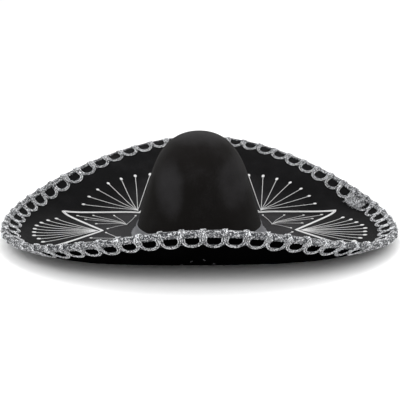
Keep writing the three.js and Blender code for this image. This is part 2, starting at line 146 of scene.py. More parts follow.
def size(label, tip, default, low, high):
    """A length property; it is stored in metres and given here in millimetres."""
    return FloatProperty(name=label, description=tip, default=default * MM, min=low * MM,
                         max=high * MM, unit="LENGTH", precision=4)


def count(label, tip, default, low, high):
    """A whole-number property."""
    return IntProperty(name=label, description=tip, default=default, min=low, max=high)


def colour(label, tip, *rgb):
    """A colour property."""
    return FloatVectorProperty(name=label, description=tip, default=rgb, subtype="COLOR",
                               size=3, min=0.0, max=1.0)


class HatSizes(bpy.types.PropertyGroup):
    """Lengths and counts of the hat's pieces."""
    rim_mean: size("Brim radius", "Mean radius of the felt edge in plan", 266, 200, 320)
    rim_oval: size("Brim oval", "How much wider the brim is across than from front to back", 20, 0, 40)
    lift_mean: size("Edge height", "Mean height of the felt edge over the floor", 50.4, 40, 62)
    felt: size("Brim felt", "Thickness of each felt of the brim", 2.0, 1, 3)
    crown_width: size("Crown half width", "Half width of the crown at the brim", 97, 85, 108)
    crown_height: size("Crown height", "Top of the crown over the floor", CROWN_TOP, 120, 180)
    braid_reach: size("Braid reach", "How far the folded braid reaches in on each face", 4.8, 3, 12)
    braid_half: size("Braid half thickness", "From the middle of the edge to the braid", 4.0, 3.5, 5)
    loops: count("Loops", "Loops of gimp round the rim", 62, 40, 80)
    teeth: count("Braid teeth", "Teeth of the braid's edge for each loop", 6, 3, 9)
    loop_depth: size("Loop depth", "From the felt edge to the middle of a loop's foot", 22.6, 18, 30)
    gimp: size("Gimp thickness", "Thickness of one gimp strand", 1.95, 1, 3)
    star_cord: size("Star cord", "Width of the cord that outlines the star", 4.6, 2, 6)
    ray: size("Ray width", "Width of one satin-stitched ray", 1.15, 0.6, 2)
    knot: size("Knot size", "Width of the knot at a ray's end", 5.2, 2, 7)
    band_height: size("Band height", "Height of the hat band on the crown", 15, 8, 25)
    band_foot: size("Band foot", "How far the band's lace foot spreads over the brim", 4.9, 2, 10)


class HatColours(bpy.types.PropertyGroup):
    """Colours of the hat's pieces."""
    felt_dark: colour("Felt", "Black of the brim near its edge", 0.0030, 0.0030, 0.0033)
    # felt_light is the felt's lighter end: painted sheen on the brim near the crown, painted highlights
    # on the crown, and the felt's real lighter fibres
    felt_light: colour("Felt, painted sheen", "Charcoal of the brim near the crown", 0.034, 0.033, 0.035)
    crown: colour("Crown felt", "Black of the crown", 0.0055, 0.0048, 0.0044)
    silver_dark: colour("Silver shade", "Darker threads of the braid", 0.030, 0.032, 0.036)
    silver_light: colour("Silver", "Brighter threads of the braid", 0.90, 0.91, 0.93)
    white: colour("White thread", "Star cord and rays", 0.93, 0.93, 0.93)
    lace: colour("Lace", "Hat band", 0.20, 0.205, 0.22)
    lining: colour("Lining", "Satin inside the crown", 0.02, 0.02, 0.024)
    sweatband: colour("Sweatband", "Ribbed band inside the mouth", 0.028, 0.025, 0.023)


# ---------------------------------------------------------------- nodes written as sums
class Val:
    """One socket of a node tree, so that node maths reads as ordinary sums."""

    def __init__(self, web, socket):
        self.web, self.socket = web, socket

    def fn(self, operation, *others):
        return self.web.maths(operation, self, *others)

    def __add__(self, o): return self.web.maths("ADD", self, o)
    def __radd__(self, o): return self.web.maths("ADD", o, self)
    def __sub__(self, o): return self.web.maths("SUBTRACT", self, o)
    def __rsub__(self, o): return self.web.maths("SUBTRACT", o, self)
    def __mul__(self, o): return self.web.maths("MULTIPLY", self, o)
    def __rmul__(self, o): return self.web.maths("MULTIPLY", o, self)
    def __truediv__(self, o): return self.web.maths("DIVIDE", self, o)
    def __rtruediv__(self, o): return self.web.maths("DIVIDE", o, self)
    def __pow__(self, o): return self.web.maths("POWER", self, o)
    def __neg__(self): return self.web.maths("MULTIPLY", self, -1.0)


class Made:
    """A node that has been added; its outputs come by name or place."""

    def __init__(self, web, node):
        self.web, self.node = web, node

    def __getitem__(self, key):
        return Val(self.web, self.node.outputs[key])


class Web:
    """A node tree being written."""

    def __init__(self, tree):
        self.tree = tree

    def join(self, value, socket):
        if isinstance(value, Val):
            self.tree.links.new(value.socket, socket)
        elif value is not None:
            socket.default_value = value

    def add(self, kind, sockets=None, **settings):
        """A node of this type: its settings come first, then its sockets' values or links."""
        node = self.tree.nodes.new(kind)
        for key, value in settings.items():
            if key == "stops":
                ramp = node.color_ramp
                while len(ramp.elements) < len(value):
                    ramp.elements.new(1.0)
                for stop, (place, shade) in zip(ramp.elements, value):
                    stop.position, stop.color = place, (shade, shade, shade, 1)
            else:
                setattr(node, key, value)
        for key, value in (sockets or {}).items():
            self.join(value, node.inputs[key])
        return Made(self, node)

    def maths(self, operation, *values):
        return self.add("ShaderNodeMath", dict(enumerate(values)), operation=operation)[0]

    def vector(self, operation, *values, **named):
        sockets = {**dict(enumerate(values)), **named}
        return self.add("ShaderNodeVectorMath", sockets, operation=operation)["Vector"]

    def xyz(self, x, y, z):
        return self.add("ShaderNodeCombineXYZ", {0: x, 1: y, 2: z})[0]

    def parts(self, vector):
        made = self.add("ShaderNodeSeparateXYZ", {0: vector})
        return made[0], made[1], made[2]

    def spot(self):
        return self.add("ShaderNodeTexCoord")["Object"]

    def noise(self, where, scale, detail, **more):
        sockets = {"Vector": where, "Scale": scale, "Detail": detail, **more}
        return self.add("ShaderNodeTexNoise", sockets)[0]

    def blend(self, factor, a, b):
        """Mix two colours."""
        made = self.add("ShaderNodeMix", data_type="RGBA")
        for place, value in ((0, factor), (6, a), (7, b)):
            if not isinstance(value, Val) and place:
                value = (*value, 1.0) if len(value) == 3 else value
            self.join(value, made.node.inputs[place])
        return made[2]


def cosine(x): return x.fn("COSINE") if isinstance(x, Val) else np.cos(x)
def sine(x): return x.fn("SINE") if isinstance(x, Val) else np.sin(x)
def above(x, low): return x.fn("MAXIMUM", low) if isinstance(x, Val) else np.maximum(x, low)
def below(x, high): return x.fn("MINIMUM", high) if isinstance(x, Val) else np.minimum(x, high)


def plane_rise(plane, v):
    """Height of a plane that rises outwards with a rounded run-in."""
    slope, start, soft = plane
    run = below(above(v - start + soft, 0.0), 2.0 * soft)
    return (run * run / (4.0 * soft) + above(v - start - soft, 0.0)) * slope


def planes(y):
    return plane_rise(BACK_PLANE, y) + plane_rise(FRONT_PLANE, y * -1.0)


def unit(x):
    return above(below(x, 1.0), 0.0)


def eased(k):
    k = unit(k)
    return k * k * (3.0 - 2.0 * k)


def polar(ang, r, z):
    """Points at these angles, radii and heights."""
    return np.stack(np.broadcast_arrays(r * np.cos(ang), r * np.sin(ang), z), -1)


def ring(n):
    """n even angles round the hat."""
    return np.arange(n) * TAU / n


def plan_length(a, b):
    return math.hypot(b[0] - a[0], b[1] - a[1])


# ---------------------------------------------------------------- the hat's shape as rules
class HatShape:
    """Rules for the felt's form. Angles run round the hat, lengths are millimetres.

    The brim's rules take numbers, arrays or node sockets alike.
    """

    def __init__(self, sizes):
        self.sizes = sizes
        self.felt = sizes.felt / MM
        self.rim_mean, self.rim_oval = sizes.rim_mean / MM, sizes.rim_oval / MM
        self.lift_mean = sizes.lift_mean / MM
        self.crown_a, self.crown_h = sizes.crown_width / MM, sizes.crown_height / MM
        self.top = 2 * self.felt + GAP
        self.middle = self.top / 2
        self.half = sizes.braid_half / MM
        self.reach = sizes.braid_reach / MM
        self.table()

    def oval(self, a, ang):
        b = a * CROWN_RATIO
        return (a * b) / ((b * cosine(ang)) ** 2.0 + (a * sine(ang)) ** 2.0) ** 0.5

    def rim(self, ang):
        return self.rim_mean + self.rim_oval * cosine(2.0 * ang)

    def profile(self, ang):
        """What the brim's height needs that depends on the angle alone."""
        lift = self.lift_mean
        for k, (c, s) in enumerate(zip(LIFT_COS, LIFT_SIN), 1):
            lift = lift + c * cosine(ang * float(k)) + s * sine(ang * float(k))
        inner, edge, side = self.oval(self.crown_a, ang), self.rim(ang), sine(ang)
        curl = lift - RISE - planes(edge * side)
        return inner, edge - inner, side, curl, CURL_POWER + CURL_TILT * side

    def height(self, profile, r):
        """Height of the brim's underside at radius r."""
        inner, width, side, curl, power = profile
        share = (r - inner) / width
        out = r - inner - REST_WIDTH
        low = RISE * eased(out / RISE_RUN) + planes(r * side) * eased(out / PLANE_RUN)
        return low + curl * above((share - CURL_START) / (1.0 - CURL_START), 1e-6) ** power

    def on_brim(self, ang, r, d):
        """Radius and height of a point d above the underside, square to the profile."""
        profile = self.profile(ang)
        slope = ((self.height(profile, r + SLOPE_PROBE) - self.height(profile, r - SLOPE_PROBE))
                 * (0.5 / SLOPE_PROBE))
        steep = (slope * slope + 1.0) ** 0.5
        return r - d * slope / steep, self.height(profile, r) + d / steep

    def table(self):
        """Radius at each distance in from the felt edge, along the profile."""
        self.angles = np.linspace(0, TAU, TABLE_ROUND + 1)
        profile = self.profile(self.angles)
        r, rows = self.rim(self.angles), []
        for _ in range(TABLE_IN + 1):
            rows.append(r)
            slope = (self.height(profile, r) - self.height(profile, r - TABLE_STEP)) / TABLE_STEP
            r = r - TABLE_STEP / np.hypot(1.0, slope)
        self.radii = np.array(rows)
        points = self.fold(self.angles, np.zeros(TABLE_ROUND + 1), 0.0)
        steps = np.linalg.norm(np.diff(points, axis=0), axis=1)
        self.arc = np.concatenate([[0], np.cumsum(steps)])

    def radius_in(self, ang, w):
        """Radius at a distance w in from the felt edge."""
        i = np.mod(ang, TAU) / TAU * TABLE_ROUND
        j = np.clip(w, 0, TABLE_IN * TABLE_STEP) / TABLE_STEP
        i0, j0 = np.minimum(i.astype(int), TABLE_ROUND - 1), np.minimum(j.astype(int), TABLE_IN - 1)
        fi, fj = i - i0, j - j0
        t = self.radii
        return ((t[j0, i0] * (1 - fi) + t[j0, i0 + 1] * fi) * (1 - fj)
                + (t[j0 + 1, i0] * (1 - fi) + t[j0 + 1, i0 + 1] * fi) * fj)

    def place(self, ang, r, d):
        """Point d above the brim's underside."""
        return polar(ang, *self.on_brim(ang, r, d))

    def edge(self, ang):
        """The middle of the felt's edge, and the ways outwards and up from it."""
        rim = self.rim(ang)
        edge = self.place(ang, rim, self.middle)
        out = edge - self.place(ang, rim - TABLE_STEP, self.middle)
        return (edge, out / np.linalg.norm(out, axis=-1, keepdims=True),
                self.place(ang, rim, self.middle + 1.0) - edge)

    def raised(self, ang, q, rise):
        """A guide line over the folded edge, with its upward directions."""
        line = self.fold(ang, q, rise)
        return line, self.fold(ang, q, rise + 0.5) - line

    def fold(self, ang, q, rise):
        """Point over the folded edge: q runs across the fold, upper face positive."""
        ang, q, rise = np.broadcast_arrays(*(np.asarray(v, float) for v in (ang, q, rise)))
        turn = np.clip(q / self.half, -math.pi / 2, math.pi / 2)
        w = np.maximum(np.abs(q) - self.half * math.pi / 2, 0)
        early, run, near = BRAID_END
        step = eased((w - self.reach + early) / run)
        level = self.half * (1 - step) + (self.middle + near) * step + rise
        edge, out, up = self.edge(ang)
        bow = edge + out * (level * np.cos(turn))[..., None] + up * (level * np.sin(turn))[..., None]
        if not hasattr(self, "radii") or not np.any(w > 0):
            return bow
        face = self.place(ang, self.radius_in(ang, w), self.middle + np.sign(q) * level)
        return np.where((w > 0)[..., None], face, bow)

    def along(self, share):
        """Angle at a share of the rim's real length, counted from the front to the right."""
        front = np.interp(1.5 * math.pi, self.angles, self.arc)
        total = self.arc[-1]
        return np.interp(np.mod(front + np.asarray(share) * total, total), self.arc, self.angles)

    def crown(self, ang, z, inset, top):
        """Radius of the crown's wall at a height."""
        share = np.clip(z / top, 0, 1)
        a = ((self.crown_a - inset - CROWN_TAPER * np.maximum(z, 0) ** CROWN_TAPER_POWER)
             * (1 - share ** DOME_LATE) ** (1 / DOME_ROUND))
        r = self.oval(np.maximum(a, 0.01), ang)
        for way, spread, height, tall, depth in DENTS:
            da = (np.mod(ang - math.radians(way) + math.pi, TAU) - math.pi) / math.radians(spread)
            dz = (z - height) / tall
            r = r - depth * np.exp(-da ** 2 - dz * dz) * np.minimum(1, a / DENT_FADE)
        return r


# ---------------------------------------------------------------- mesh helpers
def piece(name, slot, *nodes, finish=None):
    """An empty mesh object that stands for these nodes of the frame."""
    obj = bpy.data.objects.new(name, bpy.data.meshes.new(name))
    bpy.context.scene.collection.objects.link(obj)
    obj.data.materials.append(finish_of(finish or slot))
    obj["finish"] = slot
    obj["stands_for"] = list(nodes)
    return obj


def renewed(obj):
    """An empty mesh with the object's name and material, which the object takes over."""
    mesh = bpy.data.meshes.new(obj.name)
    mesh.materials.append(obj.data.materials[0])
    obj.data = mesh
    return mesh


def fill(obj, points, faces):
    """Give an object its smooth mesh; points are in millimetres."""
    mesh = renewed(obj)
    mesh.from_pydata((np.asarray(points, float) * MM).tolist(), [], faces)
    mesh.polygons.foreach_set("use_smooth", [True] * len(mesh.polygons))
    mesh.update()
    return obj


def settle(obj):
    """A finished piece rides on the hat and takes the place of the frame's nodes it stands for."""
    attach(obj, "root")
    if len(obj["stands_for"]):
        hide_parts(*obj["stands_for"])


def ring_faces(rows, around):
    """Quads between `around` closed sections of `rows` points, both ways round."""
    pairs = [(i * rows, (i + 1) % around * rows, j, (j + 1) % rows)
             for i in range(around) for j in range(rows)]
    return [(i + j, k + j, k + m, i + m) for i, k, j, m in pairs]


def face_out(obj):
    """Turn a closed mesh so that its faces point outwards."""
    work = bmesh.new()
    work.from_mesh(obj.data)
    bmesh.ops.remove_doubles(work, verts=work.verts, dist=1e-7)
    bmesh.ops.recalc_face_normals(work, faces=work.faces)
    work.to_mesh(obj.data)
    work.free()
    return obj


def guides(obj, lines):
    """Fill an object with open or closed lines of (points, ups, closed) for a node tree to follow."""
    points, ups, edges = [], [], []
    for line, up, closed in lines:
        base = len(points)
        points.extend((np.asarray(line) * MM).tolist())
        ups.extend(np.asarray(up).tolist())
        n = len(line)
        edges += [(base + i, base + i + 1) for i in range(n - 1)]
        if closed:
            edges.append((base + n - 1, base))
    mesh = renewed(obj)
    mesh.from_pydata(points, edges, [])
    lean = mesh.attributes.new("up", "FLOAT_VECTOR", "POINT")
    lean.data.foreach_set("vector", np.array(ups, float).ravel())
    return obj


# ---------------------------------------------------------------- geometry node trees
def new_tree(name, inputs):
    """A geometry node tree with a mesh in and out and these named inputs."""
    tree = bpy.data.node_groups.new(name, "GeometryNodeTree")
    tree.interface.new_socket("Geometry", in_out="INPUT", socket_type="NodeSocketGeometry")
    kinds = {float: "NodeSocketFloat", int: "NodeSocketInt"}
    for label, default in inputs.items():
        kind = kinds.get(type(default), "NodeSocketMaterial")
        socket = tree.interface.new_socket(label, in_out="INPUT", socket_type=kind)
        if default is not None:
            socket.default_value = default
    tree.interface.new_socket("Geometry", in_out="OUTPUT", socket_type="NodeSocketGeometry")
    web = Web(tree)
    return web, web.add("NodeGroupInput")


def finish_tree(web, geometry, material):
    """Realize, shade smooth, set the material and send to the output."""
    real = web.add("GeometryNodeRealizeInstances", {0: geometry})[0]
    soft = web.add("GeometryNodeSetShadeSmooth", {0: real})[0]
    done = web.add("GeometryNodeSetMaterial", {"Geometry": soft, "Material": material})[0]
    web.add("NodeGroupOutput", {0: done})
    return web.tree


def keep(obj):
    """Keep what the object's modifiers make as its plain mesh."""
    material = obj.data.materials[0]
    deps = bpy.context.evaluated_depsgraph_get()
    mesh = bpy.data.meshes.new_from_object(obj.evaluated_get(deps), depsgraph=deps)
    obj.modifiers.clear()
    mesh.name = obj.name
    if not mesh.materials:
        mesh.materials.append(material)
    obj.data = mesh
    return obj


def grow(obj, tree, **values):
    """Run a tree on an object and keep the result as a plain mesh."""
    modifier = obj.modifiers.new(tree.name, "NODES")
    modifier.node_group = tree
    for item in tree.interface.items_tree:
        if item.in_out == "INPUT" and item.name in values:
            modifier[item.identifier] = values[item.name]
        elif item.in_out == "INPUT" and item.name == "Material":
            modifier[item.identifier] = obj.data.materials[0]
    return keep(obj)


def felt_tree(shape):
    """A felt ply of the brim: a sheet whose height follows the brim's rule, then given its wall."""
    web, given = new_tree("Brim felt", {"Hole": 90.0, "Depth": 1.0, "Round": 300, "Across": 70,
                                        "Unevenness": 0.5, "Material": None})
    grid = web.add("GeometryNodeMeshGrid", {
        "Size X": 1.0, "Size Y": 1.0, "Vertices X": given["Round"], "Vertices Y": given["Across"]})[0]
    x, y, _ = web.parts(web.add("GeometryNodeInputPosition")[0])
    ang = (x + 0.5) * -TAU
    hole = shape.oval(1.0, ang) * given["Hole"]
    share = y + 0.5
    r = hole + (shape.rim(ang) - hole) * share
    radius, z = shape.on_brim(ang, r, given["Depth"])
    x, y = radius * cosine(ang), radius * sine(ang)
    flat = web.xyz(x, y, 0.0)
    slow, quick = ((web.noise(flat, scale, detail) - 0.5) * high for scale, detail, high in WAVES)
    z = z + (slow + quick) * given["Unevenness"] * eased((share - 0.3) * 3.0)
    placed = web.vector("SCALE", web.xyz(x, y, z), Scale=MM)
    moved = web.add("GeometryNodeSetPosition", {"Geometry": grid, "Position": placed})[0]
    joined = web.add("GeometryNodeMergeByDistance", {"Geometry": moved, "Distance": 1e-6})[0]
    return finish_tree(web, joined, given["Material"])


def along_guides(web, given):
    """The guide lines as curves, and the turn that faces along them with their own up."""
    lines = web.add("GeometryNodeMeshToCurve", {"Mesh": given["Geometry"]})[0]
    up = web.add("GeometryNodeInputNamedAttribute", {"Name": "up"}, data_type="FLOAT_VECTOR")[0]
    tangent = web.add("GeometryNodeInputTangent")[0]
    aim = web.add("FunctionNodeAxesToRotation", {0: tangent, 1: up},
                  primary_axis="X", secondary_axis="Z")[0]
    return lines, aim


def cord_tree():
    """Twisted cord: slanted grains laid close along each guide line."""
    web, given = new_tree("Twisted cord", {"Pitch": 1.25 * MM, "Grain length": 2.6 * MM,
                                           "Grain width": 1.1 * MM, "Grain height": 1.4 * MM,
                                           "Slant": 0.5, "Scatter": 0.0, "Seed": 1, "Material": None})
    lines, aim = along_guides(web, given)
    even = web.add("GeometryNodeResampleCurve", {"Curve": lines, "Length": given["Pitch"]},
                   mode="LENGTH")[0]
    loose = web.add("FunctionNodeRandomValue", {2: given["Scatter"] * -1.0, 3: given["Scatter"],
                                                "Seed": given["Seed"]}, data_type="FLOAT")[1]
    lean = web.xyz(0.0, loose * 0.6, given["Slant"] + loose)
    turn = web.add("FunctionNodeEulerToRotation", {0: lean})[0]
    aim = web.add("FunctionNodeRotateRotation", {0: aim, 1: turn}, rotation_space="LOCAL")[0]
    grain = web.add("GeometryNodeMeshIcoSphere", {"Radius": 0.5, "Subdivisions": 1})[0]
    scale = web.xyz(given["Grain length"], given["Grain width"], given["Grain height"])
    laid = web.add("GeometryNodeInstanceOnPoints", {"Points": even, "Instance": grain,
                                                    "Rotation": aim, "Scale": scale})[0]
    return finish_tree(web, laid, given["Material"])


def knot_tree():
    """Thread knots: a small ring of thread with a filled middle at each guide's first point."""
    web, given = new_tree("Thread knot", {"Width": 3.4 * MM, "Length": 4.6 * MM, "Height": 1.5 * MM,
                                          "Material": None})
    lines, aim = along_guides(web, given)
    first = web.add("GeometryNodeCurveEndpointSelection", {0: 1, 1: 0})[0]
    ring = web.add("GeometryNodeCurvePrimitiveCircle", {"Resolution": 9, "Radius": 0.33})[0]
    bead = web.add("GeometryNodeCurvePrimitiveCircle", {"Resolution": 5, "Radius": 0.2})[0]
    torus = web.add("GeometryNodeCurveToMesh", {0: ring, 1: bead})[0]
    heart = web.add("GeometryNodeMeshIcoSphere", {"Radius": 0.3, "Subdivisions": 1})[0]
    flat = web.add("GeometryNodeTransform", {"Geometry": heart, "Scale": (1.0, 1.0, 0.45)})[0]
    both = web.add("GeometryNodeJoinGeometry")
    for part in (torus, flat):
        web.tree.links.new(part.socket, both.node.inputs[0])
    scale = web.xyz(given["Length"], given["Width"], given["Height"] * 2.2)
    laid = web.add("GeometryNodeInstanceOnPoints", {
        "Points": lines, "Selection": first, "Instance": both[0], "Rotation": aim, "Scale": scale})[0]
    return finish_tree(web, laid, given["Material"])


MADE = {}


def once(name, make, *given):
    """A tree or a finish is made once and then shared."""
    if name not in MADE:
        MADE[name] = make(*given)
    return MADE[name]


def lay_cord(obj, lines, twist, slant, scatter=0.0, seed=1, scale=MM):
    """Twisted cord along the lines; its pitch and its grains' three sizes are in `scale`."""
    pitch, length, width, height = (value * scale for value in twist)
    return grow(guides(obj, lines), once("cord", cord_tree), **{
        "Pitch": pitch, "Grain length": length, "Grain width": width, "Grain height": height,
        "Slant": slant, "Scatter": scatter, "Seed": seed})


# ---------------------------------------------------------------- finishes
def pick(key):
    """One of the panel's colours."""
    return tuple(getattr(bpy.context.scene.hat_colours, key))


def shader(name):
    """A new material's web and its main shader."""
    material = bpy.data.materials.new(name)
    material.use_nodes = True
    web = Web(material.node_tree)
    return material, web, Made(web, material.node_tree.nodes["Principled BSDF"])


def set_shader(made, **sockets):
    for key, value in sockets.items():
        made.web.join(value, made.node.inputs[key.replace("_", " ")])


def grain_bump(web, height, strength, distance):
    return web.add("ShaderNodeBump", {"Strength": strength, "Distance": distance, "Height": height})[0]


def felt_finish(name, dark, light, spread, shine=1.0):
    """Pressed wool felt: matted fibres, soft mottling, and painted light where `spread` says (sheen on
    the brim, highlights on the crown).
    """
    material, web, main = shader(name)
    where = web.spot()
    fibre = web.noise(where, FELT_FIBRE, 4.0, Roughness=0.7)
    mottle = web.noise(where, FELT_MOTTLE, 3.0)
    lint = web.noise(web.vector("MULTIPLY", where, LINT_STRETCH), FELT_LINT, 2.0)
    tone = (spread(*web.parts(where)) * 0.8 + (fibre - 0.5) * 0.9 + (mottle - 0.5) * 0.5
            + above(lint - 0.68, 0.0) * 2.4)
    set_shader(main, Base_Color=web.blend(unit(tone), dark, light), Roughness=0.93 - 0.1 * mottle,
               Normal=grain_bump(web, fibre + mottle * 0.6, 0.55, 0.0007), Sheen_Weight=0.03 * shine,
               Sheen_Roughness=0.45, Specular_IOR_Level=0.07 * shine)
    return material


def sheen_near_crown(x, y, _z):
    """Painted sheen of the brim: full at the crown, none at the edge."""
    r = (x * x + (y * 1.1) * (y * 1.1)) ** 0.5
    return 1.0 - eased((r - 0.125) / 0.09)


def crown_highlights(x, y, z):
    """Painted highlights in the crown's two front dents and on its top."""
    left, right = (eased(1.0 - ((x - mx) * (x - mx) * wide + (z - mz) * (z - mz) * tall)) * much
                   for mx, mz, wide, tall, much in DENT_HIGHLIGHTS)
    return (left + right) * eased(y * -40.0) + eased((z - 0.138) / 0.02) * 0.6


# Spread for the under felt: no painted sheen, nought everywhere above the floor.
def no_sheen(_x, _y, z):
    return eased(z * -1.0)


def silver_finish(name, scale, dim):
    """Metallised thread: bright and dark strands side by side, each catching the light its own way."""
    material, web, main = shader(name)
    where = web.spot()
    cell = web.add("ShaderNodeTexVoronoi", {"Vector": where, "Scale": scale, "Randomness": 1.0})
    lot, other, _ = web.parts(cell["Color"])
    broad = web.noise(where, SILVER_BROAD, 2.0)
    tone = unit((lot - 0.5) * 1.6 + 0.5 - dim + (broad - 0.5) * 0.5)
    set_shader(main, Base_Color=web.blend(tone, pick("silver_dark"), pick("silver_light")),
               Metallic=0.25 + other * 0.5, Roughness=0.28 + lot * 0.3,
               Normal=grain_bump(web, cell["Distance"] * -1.0 + other * 0.5, 0.6, 0.0006))
    return material


def cloth_finish(name, colour_key, shade, rough, pattern, bump):
    """What thread and woven cloth share: a tone and a relief that come from the pattern."""
    material, web, main = shader(name)
    rgb = pick(colour_key)
    tone, roughen, relief = pattern(web, web.spot())
    set_shader(main, Base_Color=web.blend(unit(tone), tuple(c * shade for c in rgb), rgb),
               Roughness=rough + roughen, Normal=grain_bump(web, relief, bump, 0.0004))
    return material, main


def thread_finish(name, colour_key, shade, rough):
    """Spun thread: a fine streaky grain over an even colour."""
    def pattern(web, where):
        fine, broad = web.noise(where, THREAD_FINE, 3.0), web.noise(where, THREAD_BROAD, 1.0)
        return (fine - 0.35) * 1.6 + (broad - 0.5) * 0.4, 0.15 * fine, fine
    material, main = cloth_finish(name, colour_key, shade, rough, pattern, 0.4)
    set_shader(main, Sheen_Weight=0.1)
    return material


def woven_finish(name, colour_key, shade, pitch, rough):
    """Plain woven cloth that goes round the hat: ribs across and along, by angle and height."""
    def pattern(web, where):
        x, y, z = web.parts(where)
        over = sine(y.fn("ARCTAN2", x) * (TAU * 0.085 / pitch)) * 0.5 + 0.5
        along = sine(z * (TAU / pitch)) * 0.5 + 0.5
        weave = over * (1.0 - along) + along * (1.0 - over)
        fuzz = web.noise(where, CLOTH_FUZZ, 2.0)
        return weave * 0.8 + (fuzz - 0.5) * 0.5, 0.2 * fuzz, weave + fuzz * 0.4
    return cloth_finish(name, colour_key, shade, rough, pattern, 0.5)[0]


def make_finish(slot):
    """The finish of a slot, from the panel's colours."""
    for table, make in ((SILVERS, silver_finish), (THREADS, thread_finish), (WEAVES, woven_finish)):
        if slot in table:
            return make(*table[slot])
    dark, light = pick("felt_dark"), pick("felt_light")
    if slot == "under_felt":
        # The under felt is a darker copy of the brim's black: painted shade of the brim's underside.
        return felt_finish(slot, tuple(v * 0.25 for v in dark), dark, no_sheen, shine=0.0)
    # The crown's felt takes painted highlights in its front dents and on its top.
    if slot == "crown_felt":
        return felt_finish(slot, pick("crown"), light, crown_highlights)
    # The brim's felt takes a painted sheen towards the crown.
    return felt_finish(slot, dark, light, sheen_near_crown)


def finish_of(slot):
    return once("finish " + slot, make_finish, slot)


# ---------------------------------------------------------------- plans of the embroidery
def mirrored(point, sx, sy):
    """A plan point, flipped across or along by signs."""
    return point[0] * sx, point[1] * sy


def star_corners():
    """The star's twelve corners, anticlockwise from the right."""
    back = [STAR_SIDE_TIP, STAR_CORNER_IN, STAR_END_TIP, mirrored(STAR_CORNER_IN, -1, 1),
            mirrored(STAR_SIDE_TIP, -1, 1)]
    front = [mirrored(corner, -1, -1) for corner in back]
    return [STAR_SIDE_IN, *back, mirrored(STAR_SIDE_IN, -1, 1), *front]


def fan_ends(fan, mx, my):
    """Where a fan's rays end, on its oval."""
    _apex, (cx, cy, rx, ry), first, step, rays = fan
    ways = [math.radians(first + k * step) for k in range(rays)]
    return [((cx + rx * math.cos(a)) * mx, (cy + ry * math.sin(a)) * my) for a in ways]


def tip_ends(tip, in_a, in_b):
    """Ends of the rays that fill a star's point: just inside its two edges."""
    def inset(corner, other, f):
        x, y = (tip[i] + (corner[i] - tip[i]) * f for i in (0, 1))
        nx, ny = corner[1] - tip[1], tip[0] - corner[0]
        inward = math.copysign(1, (other[0] - tip[0]) * nx + (other[1] - tip[1]) * ny)
        k = TIP_FAN_INSET / math.hypot(nx, ny) * inward
        return x + nx * k, y + ny * k
    return ([inset(in_a, in_b, f) for f in TIP_FAN_STOPS] + [inset(in_b, in_a, f) for f in TIP_FAN_STOPS])


def all_fans():
    """(name, apex, ends, kind) of the twelve fans, named as in the frame."""
    fans, halves = [], (("back", 1), ("front", -1))
    for side, mx in (("right", 1), ("left", -1)):
        fans.append((f"fan_{side}", mirrored(SIDE_FAN[0], mx, 1), fan_ends(SIDE_FAN, mx, 1), "side"))
        for end, my in halves:
            fans.append((f"fan_{end}_{side}", mirrored(CORNER_FAN[0], mx, my),
                         fan_ends(CORNER_FAN, mx, my), "corner"))
            point = (mirrored(p, mx, my) for p in (STAR_SIDE_TIP, STAR_SIDE_IN, STAR_CORNER_IN))
            fans.append((f"tip_rays_{end}_{side}", mirrored(TIP_FAN_SIDE, mx, my),
                         tip_ends(*point), "tip"))
    for end, my in halves:
        point = (mirrored(p, mx, my) for p, mx in (
            (STAR_END_TIP, 1), (STAR_CORNER_IN, 1), (STAR_CORNER_IN, -1)))
        fans.append((f"tip_rays_{end}", mirrored(TIP_FAN_END, 1, my), tip_ends(*point), "tip"))
    return fans


def plan_line(shape, a, b, step, d, wobble=0.0):
    """Points and upward directions of a straight plan line laid on the brim at depth d."""
    length = plan_length(a, b)
    t = np.linspace(0, 1, max(2, int(length / step) + 1))
    sway = wobble * np.sin(t * math.pi)
    x = a[0] + (b[0] - a[0]) * t - (b[1] - a[1]) / length * sway
    y = a[1] + (b[1] - a[1]) * t + (b[0] - a[0]) / length * sway
    return plan_points(shape, x, y, d)


def plan_dashes(shape, a, b, dash):
    """Spaced stitches on the under face, along a plan line from a to b."""
    first, every, long, step, depth = dash
    length, out = plan_length(a, b), []
    for start in np.arange(first, length - first, every):
        ends = [tuple(a[c] + (b[c] - a[c]) * w / length for c in (0, 1)) for w in (start, start + long)]
        out.append((*plan_line(shape, *ends, step, depth), False))
    return out


def plan_points(shape, x, y, d):
    """Plan points laid on the brim at depth d, with the felt's way up (or down) at each."""
    ang, r = np.arctan2(y, x), np.hypot(x, y)
    for _ in range(4):   # the felt's normal carries the point sideways, so look for the radius under it
        got, _z = shape.on_brim(ang, r, d)
        r = r + (np.hypot(x, y) - got)
    low, high = shape.place(ang, r, d), shape.place(ang, r, d + 1.0)
    up = high - low
    return low, up if d > shape.middle else -up


# ---------------------------------------------------------------- operators
class Maker(bpy.types.Operator):
    """What every piece's operator shares."""
    bl_options = {"REGISTER", "UNDO"}

    def execute(self, context):
        self.build(HatShape(context.scene.hat_sizes), context.scene.hat_sizes)
        return {"FINISHED"}


